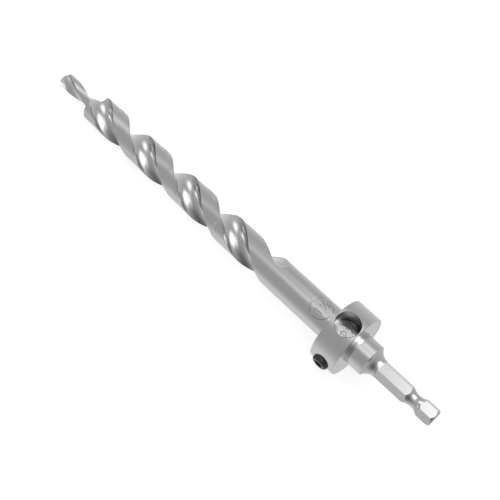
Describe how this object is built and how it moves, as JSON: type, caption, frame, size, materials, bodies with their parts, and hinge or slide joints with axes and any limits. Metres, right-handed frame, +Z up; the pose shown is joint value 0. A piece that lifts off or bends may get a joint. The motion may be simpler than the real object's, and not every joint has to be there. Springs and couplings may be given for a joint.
{
  "type": "step drill bit",
  "caption": "Stepped twist drill for pocket holes: pilot point, fluted body, plain shank with a stop collar and its set screw, and a grooved hex end.",
  "frame": {"origin": "on the table, under the middle of the part's bounding box", "axes": "+X along the bit towards the hex shank, +Z up. The collar's sight window faces up and its set screw -Y, both turned 9.7 degrees about the bit, the screw downwards, as the bit comes to rest"},
  "size_m": [0.201, 0.0269, 0.0259],
  "materials": {
    "ground_steel": "bright ground and lightly polished",
    "collar_steel": "satin turned, with bright end faces",
    "black_steel": "black oxide"
  },
  "bodies": {
    "bit": {"drill_bit": "ground_steel"},
    "collar": {"stop_collar": "collar_steel"},
    "screw": {"set_screw": "black_steel"}
  },
  "joints": [
    {"name": "collar_slide", "type": "slide", "parent": "bit", "child": "collar", "axis": [-0.9986, 0, -0.053], "range_m": [-0.0065, 0.026]},
    {"name": "screw_travel", "type": "slide", "parent": "collar", "child": "screw", "axis": [0.0089, -0.9857, -0.1683], "range_m": [0, 0.0025]}
  ]
}
